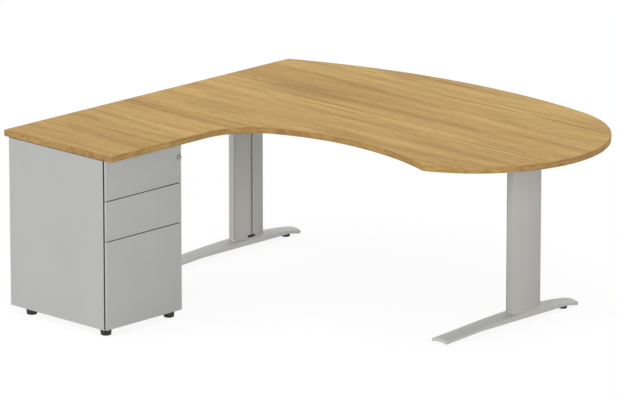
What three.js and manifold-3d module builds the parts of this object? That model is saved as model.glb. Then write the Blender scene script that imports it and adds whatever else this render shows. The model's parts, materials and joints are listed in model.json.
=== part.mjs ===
import * as THREE from 'three';
import { mergeVertices } from 'three/addons/utils/BufferGeometryUtils.js';
import Module from 'manifold-3d';

// L-shaped office desk with a round meeting end, a drawer pedestal under its return and two
// cantilever legs. Millimetres, +Z up, X along the main desk, Y away from the user. While it is
// being drawn, X and Y start at the back corner of the worktop and Z at the floor.

const wasm = await Module();
wasm.setup();

// Worktop
const deskHeight = 735;
const topThickness = 25;
const topLength = 1890;
const returnLength = 1600;
const returnWidth = 600;
const endRadius = 540;
const endCentreSetback = 350;
const backBowRadius = 2460;
const bayCentre = 1106;
const bayDepth = 770;
const bayReturnSideRadius = 880;
const bayEndSideRadius = 1200;
const innerCornerRadius = 250;
const tipRadius = 20;
const outerCornerRadius = 3;
const frontCornerRadius = 15;
const bandThickness = 2;
const bandArris = 1.5;

// Cantilever legs. A foot's front end is the one near the user.
const legSetback = 5;
const footLength = 768;
const footWidth = 78;
const legSpacing = 1525;
const columnSetback = 282;
const footFrontEdge = 20;
const footBackEdge = 22;
const footPeakEdge = 42;
const footEndCrown = 7;
const footPeakCrown = 4;
const footEndUnderside = 9;
const footUnderside = 20.5;
const footFrontRunOut = 198;
const footBackRunOut = 70;
const footFrontFullness = 0.68;
const footBackFullness = 0.82;
const footHollow = 5;
const footWall = 5;
const footPocketMargin = 24;
const footStations = 20;
const pocketStations = 8;
const crownSteps = 8;
const hollowSteps = 4;
const saddleHeight = 49;
const saddleMargin = 1.5;
const bossRadius = 20;
const glideInset = 49;
const glideRadius = 18;
const glideHeight = 13;
const glideEdge = 2;
const glideStudRadius = 5;
const glideStudLength = 7;
const glideHoleClearance = 0.4;

const columnWidth = 166;
const columnFacet = 30;
const columnDepth = 70;
const coverWall = 2;
const coverLip = 7;
const coverTopClearance = 1;
const panelGap = 2.3;
const panelEndGap = 1;
const slotWidth = 8;
const slotRib = 8;
const slotRibStep = 1.5;
const slotLip = 8;
const bushWidth = 42;
const bushHeight = 11;
const bushDepth = 10;
const bushSlotDepth = 5.5;
const fitGap = 0.3;

const postWidth = 90;
const postDepth = 30;
const postWall = 3;
const postOffset = 7;

const armLength = 620;
const armFrontReach = 400;
const armWidth = 50;
const armDepth = 35;
const armTipDepth = 16;
const armRootHalf = 95;
const armWall = 3;

const beamHeight = 60;
const beamDepth = 30;
const beamWall = 2;
const beamGap = 0.5;
const beamClearance = 3;
const beamPlate = 4;
const beamPlateMargin = 15;
const beamPlateDrop = 10;
const beamBracketLeg = 40;
const beamBracketWall = 3;
const beamBracketBend = 5;
const beamBracketLength = 60;
const beamBracketShares = [0.3, 0.7];

// Drawer pedestal
const pedestalSetback = 27.5;
const pedestalWidth = 411.5;
const carcassDepth = 526;
const carcassWall = 1.2;
const floorClearance = 27;
const frontFlange = 10;
const frontLip = 10;
const bendRadius = 2;
const panEdge = 20;
const uprightDepth = 10;
const uprightWeb = 24;
const uprightFlange = 8;
const uprightEndGap = 1;
const frontUprightSetback = 51;
const rearUprightSetback = 48;

const pedestalFootInset = 33;
const frontFootSetback = 23;
const rearFootSetback = 86;
const pedestalFootRadius = 23;
const pedestalFootSole = 21;
const pedestalFootEdge = 3;
const pedestalStudRadius = 5;
const pedestalStudLength = 24;
const pedestalHoleClearance = 0.4;

// Drawers, from the top down
const frontSkin = 10;
const frontPan = 7.5;
const frontSeat = 0.5;
const frontGap = 3;
const frontTopGap = 1;
const frontBottomGap = 3;
const frontWall = 1.2;
const frontArris = 1.2;
const fingerGroove = 26;
const panMargin = 2;
const boxFrontHeight = 159;
const drainWidth = 20;
const trayDepth = 480;
const trayWall = 1.2;
const trayHem = 5;
const boxTrayRise = 16;
const boxTrayDrop = 39;
const fileTrayRise = 40;
const fileTrayDrop = 45;
const railGap = 0.4;
const railSheet = 1;
const railSpace = 12.8;
const railRearGap = 30;
const railFrontGap = 1;
const boxRailHeight = 36;
const boxRailRise = 15;
const boxRailCount = 2;
const fileRailHeight = 45;
const fileRailRise = 60;
const fileRailCount = 3;

// Lock in the top drawer's front
const lockInset = 15;
const lockDrop = 56;
const lockRadius = 8;
const lockRoseRadius = 10;
const lockRose = 3;
const lockRoseEdge = 0.8;
const lockNoseRadius = 8.8;
const lockNose = 9;
const lockBack = 32;
const lockBoreClearance = 0.4;
const plugRadius = 5.5;
const plugNose = 0.6;
const plugTail = 2;
const keywayWidth = 1.4;
const keywayHeight = 7;
const keywayDepth = 3;
const camThickness = 3;
const camThrow = 8;
const camHubRadius = 6;
const camTipRadius = 3;
const crankPinRadius = 1.5;
const lockNotchHalf = 24;
const lockBarThickness = 2;
const lockBarWidth = 12;
const lockBarEndGap = 18;
const lockHeadHeight = 18;
const lockHeadThickness = 2;
const lockHeadGap = 5;
const lockSlotPlay = 0.5;
const lockLugLength = 3;
const lockLugHeight = 8;

// How round forms are drawn
const chordError = 0.25;
const minArcSteps = 3;
const roundSteps = 24;
const studSteps = 16;
const pinSteps = 12;
const overrun = 5;

const undersideZ = deskHeight - topThickness;
const quarterTurn = Math.PI / 2;
const halfTurn = Math.PI;

const materials = {
  decor: new THREE.MeshStandardMaterial({ color: 0xc19a5f, roughness: 0.5, metalness: 0 }),
  band: new THREE.MeshStandardMaterial({ color: 0xa98254, roughness: 0.5, metalness: 0 }),
  leg: new THREE.MeshStandardMaterial({ color: 0xb4b4af, roughness: 0.45, metalness: 0.3 }),
  frame: new THREE.MeshStandardMaterial({ color: 0xa8a8a4, roughness: 0.5, metalness: 0.3 }),
  carcass: new THREE.MeshStandardMaterial({ color: 0xb9bab5, roughness: 0.6, metalness: 0.1 }),
  zinc: new THREE.MeshStandardMaterial({ color: 0xa9adb0, roughness: 0.35, metalness: 0.9 }),
  lock: new THREE.MeshStandardMaterial({ color: 0x9a9a98, roughness: 0.3, metalness: 0.9 }),
  black: new THREE.MeshStandardMaterial({ color: 0x1c1c1c, roughness: 0.6, metalness: 0 }),
  blackSteel: new THREE.MeshStandardMaterial({ color: 0x1a1a1a, roughness: 0.5, metalness: 0.2 }),
};

const desk = new THREE.Group();

function add(name, geometry, material) {
  const mesh = new THREE.Mesh(geometry, material);
  mesh.name = name;
  desk.add(mesh);
}

// Solids for cutting and joining
function solid(geometry) {
  const bare = geometry.clone();
  bare.deleteAttribute('normal');
  bare.deleteAttribute('uv');
  const merged = mergeVertices(bare);
  return new wasm.Manifold(new wasm.Mesh({
    numProp: 3,
    vertProperties: merged.attributes.position.array,
    triVerts: Uint32Array.from(merged.index.array),
  }));
}

function geometryOf(body) {
  const mesh = body.getMesh();
  const geometry = new THREE.BufferGeometry();
  geometry.setAttribute('position', new THREE.BufferAttribute(mesh.vertProperties, 3));
  geometry.setIndex(new THREE.BufferAttribute(mesh.triVerts, 1));
  geometry.computeVertexNormals();
  return geometry;
}

function cut(geometry, ...cutters) {
  return geometryOf(cutters.reduce((body, cutter) => body.subtract(solid(cutter)), solid(geometry)));
}

function join(...geometries) {
  return geometryOf(geometries.map(solid).reduce((body, next) => body.add(next)));
}

// An outline of [a, b] points drawn out along an axis: along X it lies in YZ, along Y in XZ and
// along Z in XY. Both ends get their exact level, so that pieces can meet face to face.
function prism(outline, from, to, axis = 'z') {
  const shape = new THREE.Shape(outline.map(([a, b]) => new THREE.Vector2(a, b)));
  const geometry = new THREE.ExtrudeGeometry(shape, { depth: 1, bevelEnabled: false });
  const position = geometry.attributes.position;
  for (let i = 0; i < position.count; i += 1) {
    const a = position.getX(i);
    const b = position.getY(i);
    const atEnd = position.getZ(i) > 0;
    if (axis === 'x') {
      position.setXYZ(i, atEnd ? to : from, a, b);
    } else if (axis === 'y') {
      position.setXYZ(i, a, atEnd ? from : to, b);
    } else {
      position.setXYZ(i, a, b, atEnd ? to : from);
    }
  }
  return geometry;
}

function block([x0, x1], [y0, y1], [z0, z1]) {
  return prism([[x0, y0], [x1, y0], [x1, y1], [x0, y1]], z0, z1);
}

// A turned piece from [radius, height] points, upright at (x, y)
function turned(profile, x, y, steps = roundSteps) {
  const points = profile.map(([radius, height]) => new THREE.Vector2(radius, height));
  return new THREE.LatheGeometry(points, steps).rotateX(quarterTurn).translate(x, y, 0);
}

function rod(radius, z0, z1, x, y, steps = roundSteps) {
  return turned([[0, z0], [radius, z0], [radius, z1], [0, z1]], x, y, steps);
}

// The same lying along X, with its axis at (y, z)
function turnedAlongX(profile, y, z, steps = roundSteps) {
  const points = profile.map(([radius, x]) => new THREE.Vector2(radius, x));
  return new THREE.LatheGeometry(points, steps).rotateZ(-quarterTurn).translate(0, y, z);
}

function rodAlongX(radius, x0, x1, y, z, steps = roundSteps) {
  return turnedAlongX([[0, x0], [radius, x0], [radius, x1], [0, x1]], y, z, steps);
}

function direction(a, b) {
  const length = Math.hypot(b[0] - a[0], b[1] - a[1]);
  return [(b[0] - a[0]) / length, (b[1] - a[1]) / length];
}

function rounded(path, radius) {
  const points = [path[0]];
  for (let i = 1; i < path.length - 1; i += 1) {
    const into = direction(path[i - 1], path[i]);
    const away = direction(path[i], path[i + 1]);
    for (let step = 0; step <= minArcSteps; step += 1) {
      const angle = quarterTurn * step / minArcSteps;
      const back = radius * (1 - Math.sin(angle));
      const ahead = radius * (1 - Math.cos(angle));
      points.push([
        path[i][0] - into[0] * back + away[0] * ahead,
        path[i][1] - into[1] * back + away[1] * ahead,
      ]);
    }
  }
  return [...points, path[path.length - 1]];
}

// Outline of a folded sheet that runs along a path, with its thickness on the path's left. Square
// bends get the given radius on the path.
function sheet(path, thickness, radius = 0) {
  const outer = radius > 0 ? rounded(path, radius) : path;
  const inner = outer.map((point, i) => {
    const before = i > 0 ? direction(outer[i - 1], point) : direction(point, outer[i + 1]);
    const after = i < outer.length - 1 ? direction(point, outer[i + 1]) : before;
    const normal = [-before[1] - after[1], before[0] + after[0]];
    const scale = 2 * thickness / (normal[0] ** 2 + normal[1] ** 2);
    return [point[0] + normal[0] * scale, point[1] + normal[1] * scale];
  });
  return [...outer, ...inner.reverse()];
}

// Joins closed rings of points into one body. With end outlines it is closed by caps; without
// them the last ring meets the first.
function skin(rings, endOutlines = null) {
  const count = rings[0].length;
  const indices = [];
  const spans = endOutlines ? rings.length - 1 : rings.length;
  for (let ring = 0; ring < spans; ring += 1) {
    const next = (ring + 1) % rings.length;
    for (let i = 0; i < count; i += 1) {
      const j = (i + 1) % count;
      const [a, b] = [ring * count + i, ring * count + j];
      const [c, d] = [next * count + i, next * count + j];
      indices.push(a, b, c, b, d, c);
    }
  }
  if (endOutlines) {
    const [first, last] = endOutlines.map((outline) => THREE.ShapeUtils.triangulateShape(
      outline.map(([a, b]) => new THREE.Vector2(a, b)),
      [],
    ));
    const end = (rings.length - 1) * count;
    first.forEach(([a, b, c]) => indices.push(a, c, b));
    last.forEach(([a, b, c]) => indices.push(end + a, end + b, end + c));
  }
  const geometry = new THREE.BufferGeometry();
  geometry.setAttribute('position', new THREE.Float32BufferAttribute(rings.flat(2), 3));
  geometry.setIndex(indices);
  geometry.computeVertexNormals();
  return geometry;
}

// Worktop outline: arcs in order round the board, counter-clockwise from above. Hollow arcs bend
// into the board, so they grow when the outline is set in.
function angleFrom(centre, point) {
  return Math.atan2(point[1] - centre[1], point[0] - centre[0]);
}

function meeting(a, radiusA, b, radiusB) {
  const gap = Math.hypot(b[0] - a[0], b[1] - a[1]);
  const along = (radiusA ** 2 - radiusB ** 2 + gap ** 2) / (2 * gap);
  const across = Math.sqrt(radiusA ** 2 - along ** 2);
  const [ux, uy] = direction(a, b);
  return [a[0] + ux * along + uy * across, a[1] + uy * along - ux * across];
}

const endCentre = [topLength - endRadius, -endCentreSetback];
const bowCentre = meeting([0, 0], backBowRadius, endCentre, backBowRadius - endRadius);
const bayReturnSide = [bayCentre, -bayDepth - bayReturnSideRadius];
const bayEndSide = [bayCentre, -bayDepth - bayEndSideRadius];

function worktopArcs() {
  const outer = [outerCornerRadius, outerCornerRadius - returnLength];
  const front = [returnWidth - frontCornerRadius, frontCornerRadius - returnLength];
  const innerX = returnWidth + innerCornerRadius;
  const innerReach = bayReturnSideRadius - innerCornerRadius;
  const inner = [innerX, bayReturnSide[1] + Math.sqrt(innerReach ** 2 - (innerX - bayCentre) ** 2)];
  const tip = meeting(bayEndSide, bayEndSideRadius + tipRadius, endCentre, endRadius - tipRadius);
  const backReach = backBowRadius - outerCornerRadius;
  const backRise = Math.sqrt(backReach ** 2 - (outerCornerRadius - bowCentre[0]) ** 2);
  const back = [outerCornerRadius, bowCentre[1] + backRise];
  const bayStart = angleFrom(bayReturnSide, inner);
  const bayEnd = angleFrom(bayEndSide, tip);
  const tipEnd = angleFrom(endCentre, tip);
  const bowStart = angleFrom(bowCentre, endCentre);
  const bowEnd = angleFrom(bowCentre, back);
  return [
    { centre: outer, radius: outerCornerRadius, from: halfTurn, to: halfTurn + quarterTurn },
    { centre: front, radius: frontCornerRadius, from: -quarterTurn, to: 0 },
    { centre: inner, radius: innerCornerRadius, from: halfTurn, to: bayStart, hollow: true },
    { centre: bayReturnSide, radius: bayReturnSideRadius, from: bayStart, to: quarterTurn, hollow: true },
    { centre: bayEndSide, radius: bayEndSideRadius, from: quarterTurn, to: bayEnd, hollow: true },
    { centre: tip, radius: tipRadius, from: bayEnd - halfTurn, to: tipEnd },
    { centre: endCentre, radius: endRadius, from: tipEnd, to: bowStart },
    { centre: bowCentre, radius: backBowRadius, from: bowStart, to: bowEnd },
    { centre: back, radius: outerCornerRadius, from: bowEnd, to: halfTurn },
  ];
}

function worktopOutline(inset) {
  const points = [];
  for (const { centre, radius, from, to, hollow } of worktopArcs()) {
    const drawn = hollow ? radius + inset : radius - inset;
    const stepAngle = 2 * Math.sqrt(2 * chordError / radius);
    const steps = Math.max(minArcSteps, Math.ceil(Math.abs(to - from) / stepAngle));
    for (let step = 0; step <= steps; step += 1) {
      const angle = from + (to - from) * step / steps;
      const point = [centre[0] + drawn * Math.cos(angle), centre[1] + drawn * Math.sin(angle)];
      const previous = points[points.length - 1];
      if (!previous || Math.hypot(point[0] - previous[0], point[1] - previous[1]) > bandArris / 10) {
        points.push(point);
      }
    }
  }
  return points;
}

function worktop() {
  add('worktop_board', prism(worktopOutline(bandThickness), undersideZ, deskHeight), materials.decor);
  const arris = [0, quarterTurn / 2, quarterTurn].map((angle) => [
    bandArris * (1 - Math.sin(angle)),
    bandArris * (1 - Math.cos(angle)),
  ]);
  const section = [
    [bandThickness, undersideZ],
    ...arris.map(([inset, rise]) => [inset, undersideZ + rise]),
    ...arris.toReversed().map(([inset, rise]) => [inset, deskHeight - rise]),
    [bandThickness, deskHeight],
  ];
  const rings = section.map(([inset, z]) => worktopOutline(inset).map(([x, y]) => [x, y, z]));
  add('worktop_edge_band', skin(rings), materials.band);
}

// Where the feet end and the columns stand along Y
const footBackY = -legSetback;
const footFrontY = footBackY - footLength;
const columnY = footBackY - columnSetback;

// Section of a foot at Y: a crowned blade, high at the column, low and thin at its ends
function footShape(y) {
  const toFront = (y - footFrontY) / (columnY - footFrontY);
  const toBack = (footBackY - y) / columnSetback;
  const atFront = y < columnY;
  const rise = atFront
    ? (toFront ** 2 * (3 - 2 * toFront)) ** footFrontFullness
    : (1 - (1 - toBack) ** 2) ** footBackFullness;
  const run = Math.min((y - footFrontY) / footFrontRunOut, (footBackY - y) / footBackRunOut, 1);
  const endEdge = atFront ? footFrontEdge : footBackEdge;
  return {
    edge: endEdge + (footPeakEdge - endEdge) * rise,
    crown: footEndCrown + (footPeakCrown - footEndCrown) * rise,
    under: footEndUnderside + (footUnderside - footEndUnderside) * run,
  };
}

function crowned(x0, x1, z, rise, steps) {
  return Array.from({ length: steps + 1 }, (_, step) => {
    const share = step / steps;
    return [x0 + (x1 - x0) * share, z + rise * 4 * share * (1 - share)];
  });
}

function footLoft(x, from, to, wall, stations) {
  const half = footWidth / 2 - wall;
  const sections = [];
  for (let station = 0; station <= stations; station += 1) {
    const y = to + (from - to) * station / stations;
    const { edge, crown, under } = footShape(y);
    const outline = [
      ...crowned(x - half, x + half, wall > 0 ? 0 : under, wall > 0 ? 0 : footHollow, hollowSteps),
      ...crowned(x + half, x - half, edge - wall, crown, crownSteps),
    ];
    sections.push({ y, outline });
  }
  const rings = sections.map(({ y, outline }) => outline.map(([a, b]) => [a, y, b]));
  return skin(rings, [sections[0].outline, sections[stations].outline]);
}

// Column section from above. The first coordinate runs from the leg's centre line towards the
// middle of the desk, the second along Y from the column's centre.
const slotHalf = slotWidth / 2;
const facetHalf = columnFacet / 2;
const columnHalf = columnWidth / 2;
const depthHalf = columnDepth / 2;

function columnArc(grow = 0) {
  const chord = columnHalf + grow;
  const rise = depthHalf - facetHalf;
  const radius = (chord ** 2 + rise ** 2) / (2 * rise);
  const reach = Math.asin(chord / radius);
  const steps = roundSteps / 2;
  return Array.from({ length: steps + 1 }, (_, step) => {
    const angle = reach * (1 - 2 * step / steps);
    return [radius * (1 - Math.cos(angle)) - depthHalf - grow, radius * Math.sin(angle)];
  });
}

// One leg on its centre line at x. Facing is 1 where the middle of the desk lies towards +X.
function leg(name, x, facing) {
  const place = (outline) => outline.map(([u, y]) => [x + facing * u, columnY + y]);
  const mirrored = (outline) => outline.map(([u, y]) => [u, -y]);
  const span = (u0, u1) => [x + facing * u0, x + facing * u1].sort((a, b) => a - b);
  const around = (half) => [columnY - half, columnY + half];

  // Foot with its saddle, glide bosses and the pockets in its underside
  const glideY = [footFrontY + glideInset, footBackY - glideInset];
  const pockets = [
    [glideY[0] + footPocketMargin, columnY - columnHalf - footPocketMargin],
    [columnY + columnHalf + footPocketMargin, glideY[1] - footPocketMargin],
  ];
  const seat = [
    [facetHalf + saddleMargin, -columnHalf - saddleMargin],
    [depthHalf + saddleMargin, -slotHalf - slotRib],
    [depthHalf + saddleMargin, slotHalf + slotRib],
    [facetHalf + saddleMargin, columnHalf + saddleMargin],
    ...columnArc(saddleMargin),
  ];
  const saddle = prism(place(seat), footUnderside, saddleHeight);
  const bossTop = footFrontEdge + footEndCrown / 2;
  const bosses = glideY.map((y) => rod(bossRadius, glideHeight, bossTop, x, y));
  const body = join(footLoft(x, footFrontY, footBackY, 0, footStations), saddle, ...bosses);
  const hollows = pockets.map(([from, to]) => footLoft(x, from, to, footWall, pocketStations));
  const holeRadius = glideStudRadius + glideHoleClearance;
  const studTop = glideHeight + glideStudLength;
  const holes = glideY.map((y) => rod(holeRadius, 0, studTop + fitGap, x, y, studSteps));
  add(`${name}_foot`, cut(body, ...hollows, ...holes), materials.leg);
  for (const [where, y] of [['front', glideY[0]], ['back', glideY[1]]]) {
    const glide = turned([
      [0, 0],
      [glideRadius - glideEdge, 0],
      [glideRadius, glideEdge],
      [glideRadius, glideHeight],
      [glideStudRadius, glideHeight],
      [glideStudRadius, studTop],
      [0, studTop],
    ], x, y, studSteps);
    add(`${name}_${where}_glide`, glide, materials.blackSteel);
  }

  // Structural post, and the cover and panels that stand round it
  const postSpan = [-postOffset - postDepth / 2, -postOffset + postDepth / 2];
  const postTop = undersideZ - armWall;
  const postBox = block(span(...postSpan), around(postWidth / 2), [saddleHeight, postTop]);
  const bore = block(
    span(postSpan[0] + postWall, postSpan[1] - postWall),
    around(postWidth / 2 - postWall),
    [saddleHeight - overrun, postTop + overrun],
  );
  add(`${name}_post`, cut(postBox, bore), materials.frame);

  const shell = [
    [facetHalf, columnHalf - coverLip],
    [facetHalf, columnHalf],
    ...columnArc(),
    [facetHalf, -columnHalf],
    [facetHalf, coverLip - columnHalf],
  ];
  const coverTop = undersideZ - armDepth - coverTopClearance;
  add(`${name}_outer_cover`, prism(place(sheet(shell, coverWall)), saddleHeight, coverTop), materials.leg);

  const panelPath = [
    [facetHalf + panelGap, columnHalf - panelEndGap],
    [depthHalf - slotRibStep, slotHalf + slotRib],
    [depthHalf, slotHalf + slotRib],
    [depthHalf, slotHalf],
    [depthHalf - slotLip, slotHalf],
  ];
  const panel = sheet(panelPath, -coverWall);
  const beamBottom = undersideZ - armWall - beamGap - beamHeight;
  const panelTop = beamBottom - beamClearance;
  const notch = block(
    span(0, columnDepth),
    around(bushWidth / 2),
    [saddleHeight - overrun, saddleHeight + bushHeight],
  );
  for (const [where, outline] of [['back', panel], ['front', mirrored(panel)]]) {
    const cover = cut(prism(place(outline), saddleHeight, panelTop), notch);
    add(`${name}_inner_${where}_panel`, cover, materials.leg);
  }

  // Bush that closes the panels' foot round the cable slot
  const bushHalf = bushWidth / 2 - fitGap;
  const panelRise = depthHalf - slotRibStep - facetHalf - panelGap;
  const panelSlope = panelRise / (columnHalf - panelEndGap - slotHalf - slotRib);
  const shoulder = depthHalf - slotRibStep - panelSlope * (bushHalf - slotHalf - slotRib);
  const bush = [
    [depthHalf - bushDepth, -bushHalf],
    [shoulder, -bushHalf],
    [depthHalf - slotRibStep, -slotHalf - slotRib],
    [depthHalf - slotRibStep, slotHalf + slotRib],
    [shoulder, bushHalf],
    [depthHalf - bushDepth, bushHalf],
  ];
  const exit = block(
    span(0, columnDepth),
    around(slotHalf),
    [saddleHeight + bushHeight - bushSlotDepth, saddleHeight + bushHeight + overrun],
  );
  const bushBody = prism(place(bush), saddleHeight, saddleHeight + bushHeight - fitGap);
  add(`${name}_cable_bush`, cut(bushBody, exit), materials.black);

  // Arm under the worktop: a folded channel, deep at the post and shallow at its ends
  const armY = [columnY - armFrontReach, columnY - armFrontReach + armLength];
  const side = [
    [armY[0], undersideZ],
    [armY[0], undersideZ - armTipDepth],
    [columnY - armRootHalf, undersideZ - armDepth],
    [columnY + armRootHalf, undersideZ - armDepth],
    [armY[1], undersideZ - armTipDepth],
    [armY[1], undersideZ],
  ];
  const armHalf = armWidth / 2;
  const inside = block(
    span(armWall - armHalf, armHalf - armWall),
    [armY[0] - overrun, armY[1] + overrun],
    [undersideZ - armDepth - overrun, postTop],
  );
  const beamPass = block(
    span(0, columnDepth),
    around(beamDepth / 2 + beamClearance),
    [undersideZ - armDepth - overrun, postTop],
  );
  const arm = cut(prism(side, ...span(-armHalf, armHalf), 'x'), inside, beamPass);
  add(`${name}_arm`, arm, materials.frame);
  return x + facing * postSpan[1];
}

// Beam between the posts, with the brackets that hold the worktop to it
function beam(from, to) {
  const top = undersideZ - armWall - beamGap;
  const bottom = top - beamHeight;
  const y = [columnY - beamDepth / 2, columnY + beamDepth / 2];
  const tube = block([from, to], y, [bottom, top]);
  const plates = [[from, from + beamPlate], [to - beamPlate, to]].map((x) => block(
    x,
    [y[0] - beamPlateMargin, y[1] + beamPlateMargin],
    [bottom - beamPlateDrop, top],
  ));
  const bore = block(
    [from - overrun, to + overrun],
    [y[0] + beamWall, y[1] - beamWall],
    [bottom + beamWall, top - beamWall],
  );
  add('main_beam', cut(join(tube, ...plates), bore), materials.frame);
  beamBracketShares.forEach((share, i) => {
    const x = from + (to - from) * share;
    const angle = sheet([
      [y[0], undersideZ - beamBracketLeg],
      [y[0], undersideZ],
      [y[0] - beamBracketLeg, undersideZ],
    ], beamBracketWall, beamBracketBend);
    const halfLength = beamBracketLength / 2;
    add(`beam_bracket_${i + 1}`, prism(angle, x - halfLength, x + halfLength, 'x'), materials.frame);
  });
}

// Pedestal under the return's end. Its drawers face +X, with the outer side at the return's end.
const outerY = -returnLength;
const innerY = outerY + pedestalWidth;
const rearX = pedestalSetback;
const faceX = rearX + carcassDepth;
const seatX = faceX + frontSeat;
const skinX = seatX + frontPan;
const frontX = skinX + frontSkin;
const lockY = innerY - lockInset;
const lockZ = undersideZ - lockDrop;
const wallY = [outerY + carcassWall, innerY - carcassWall];
const railY = [wallY[0] + uprightDepth, wallY[1] - uprightDepth];
const trayY = [railY[0] + railSpace, railY[1] - railSpace];
const uprightZ = [
  floorClearance + panEdge + uprightEndGap,
  undersideZ - panEdge - uprightEndGap,
];

function pedestalPan(plateZ, edgeZ) {
  const upward = Math.sign(edgeZ - plateZ);
  const x = [rearX + carcassWall + fitGap, faceX - frontLip - fitGap];
  const y = [wallY[0] + fitGap, wallY[1] - fitGap];
  const inset = ([low, high]) => [low + carcassWall, high - carcassWall];
  const level = (...heights) => heights.sort((a, b) => a - b);
  const body = block(x, y, level(plateZ, edgeZ));
  const inside = block(inset(x), inset(y), level(plateZ + upward * carcassWall, edgeZ + upward * overrun));
  return cut(body, inside);
}

function carcass() {
  const path = [
    [faceX - frontLip, innerY - frontFlange],
    [faceX, innerY - frontFlange],
    [faceX, innerY],
    [rearX, innerY],
    [rearX, outerY],
    [faceX, outerY],
    [faceX, outerY + frontFlange],
    [faceX - frontLip, outerY + frontFlange],
  ];
  const lockNotch = block(
    [faceX - frontLip - overrun, faceX + overrun],
    [innerY - frontFlange - overrun, innerY - bendRadius],
    [lockZ - lockNotchHalf, lockZ + lockNotchHalf],
  );
  const wrap = prism(sheet(path, carcassWall, bendRadius), floorClearance, undersideZ);
  add('pedestal_wrap', cut(wrap, lockNotch), materials.carcass);

  const feet = [];
  for (const [depth, x] of [['rear', rearX + rearFootSetback], ['front', faceX - frontFootSetback]]) {
    for (const [side, y] of [['outer', outerY + pedestalFootInset], ['inner', innerY - pedestalFootInset]]) {
      feet.push({ name: `pedestal_${depth}_${side}_foot`, x, y });
    }
  }
  const holeRadius = pedestalStudRadius + pedestalHoleClearance;
  const holes = feet.map(({ x, y }) => rod(holeRadius, 0, floorClearance + overrun, x, y, studSteps));
  const base = pedestalPan(floorClearance, floorClearance + panEdge);
  add('pedestal_base', cut(base, ...holes), materials.carcass);
  add('pedestal_top', pedestalPan(undersideZ, undersideZ - panEdge), materials.carcass);
  for (const { name, x, y } of feet) {
    add(name, turned([
      [0, 0],
      [pedestalFootSole - pedestalFootEdge, 0],
      [pedestalFootSole, pedestalFootEdge],
      [pedestalFootRadius, floorClearance],
      [pedestalStudRadius, floorClearance],
      [pedestalStudRadius, floorClearance + pedestalStudLength],
      [0, floorClearance + pedestalStudLength],
    ], x, y), materials.black);
  }

  // Hat sections on both side walls carry the slides
  const crest = uprightWeb / 2;
  const brim = crest + uprightFlange;
  for (const [depth, x] of [['rear', rearX + rearUprightSetback], ['front', faceX - frontUprightSetback]]) {
    for (const [side, wall, inward] of [['outer', wallY[0], 1], ['inner', wallY[1], -1]]) {
      const hat = sheet([
        [x - brim, wall],
        [x - crest, wall],
        [x - crest, wall + inward * (uprightDepth - carcassWall)],
        [x + crest, wall + inward * (uprightDepth - carcassWall)],
        [x + crest, wall],
        [x + brim, wall],
      ], inward * carcassWall);
      add(`pedestal_${depth}_${side}_upright`, prism(hat, ...uprightZ), materials.zinc);
    }
  }
}

// A drawer front: a folded outer skin with a pan behind it. The pan is narrower, which leaves a
// finger groove up both sides.
function drawerFront(name, [z0, z1], ...bores) {
  const ring = (inset) => [
    [outerY + inset, z0 + inset],
    [innerY - inset, z0 + inset],
    [innerY - inset, z1 - inset],
    [outerY + inset, z1 - inset],
  ];
  const levels = [[skinX, 0], [frontX - frontArris, 0], [frontX, frontArris]];
  const rings = levels.map(([x, inset]) => ring(inset).map(([y, z]) => [x, y, z]));
  const outer = skin(rings, [ring(0), ring(frontArris)]);
  const panY = [outerY + fingerGroove, innerY - fingerGroove];
  const panZ = [z0 + panMargin, z1 - panMargin];
  const inset = ([low, high]) => [low + frontWall, high - frontWall];
  const back = block([seatX, skinX + frontWall], panY, panZ);
  const outerHollow = block(inset([skinX, frontX]), inset([outerY, innerY]), inset([z0, z1]));
  const panHollow = block([seatX + frontWall, skinX + frontSkin / 2], inset(panY), inset(panZ));
  const drains = [1, 3].map((quarter) => {
    const y = panY[0] + (panY[1] - panY[0]) * quarter / 4;
    return block(
      inset([seatX + frontWall, skinX]),
      [y - drainWidth / 2, y + drainWidth / 2],
      [panZ[0] - overrun, panZ[0] + overrun],
    );
  });
  add(name, cut(join(outer, back), outerHollow, panHollow, ...drains, ...bores), materials.carcass);
}

// Open tray with hemmed edges
function drawerTray(name, [z0, z1]) {
  const inset = ([low, high], by) => [low + by, high - by];
  const x = [seatX - trayDepth, seatX];
  const hem = trayWall + trayHem;
  const body = block(x, trayY, [z0, z1]);
  const inside = block(inset(x, trayWall), inset(trayY, trayWall), inset([z0, z1], trayWall));
  const mouth = block(inset(x, hem), inset(trayY, hem), [z1 - trayWall - overrun, z1 + overrun]);
  add(name, cut(body, inside, mouth), materials.zinc);
}

// Telescopic slides: nested C sections. The first is fixed to the uprights, the last to the tray.
function drawerSlides(name, z, height, count) {
  const step = railSheet + railGap;
  const x = [rearX + railRearGap, faceX - frontLip - railFrontGap];
  const names = count === boxRailCount ? ['fixed', 'drawer'] : ['fixed', 'middle', 'drawer'];
  for (const [side, from, inward] of [['outer', railY[0], 1], ['inner', railY[1], -1]]) {
    names.forEach((rail, i) => {
      const last = i === count - 1;
      const low = z + i * step;
      const high = z + height - i * step;
      const web = last ? railSpace : i * step;
      const edge = last ? i * step : railSpace - step;
      const path = [[edge, low], [web, low], [web, high], [edge, high]];
      const placed = path.map(([y, level]) => [from + inward * y, level]);
      const outline = sheet(placed, last ? inward * railSheet : -inward * railSheet);
      add(`${name}_${side}_${rail}_rail`, prism(outline, ...x, 'x'), materials.zinc);
    });
  }
}

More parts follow.
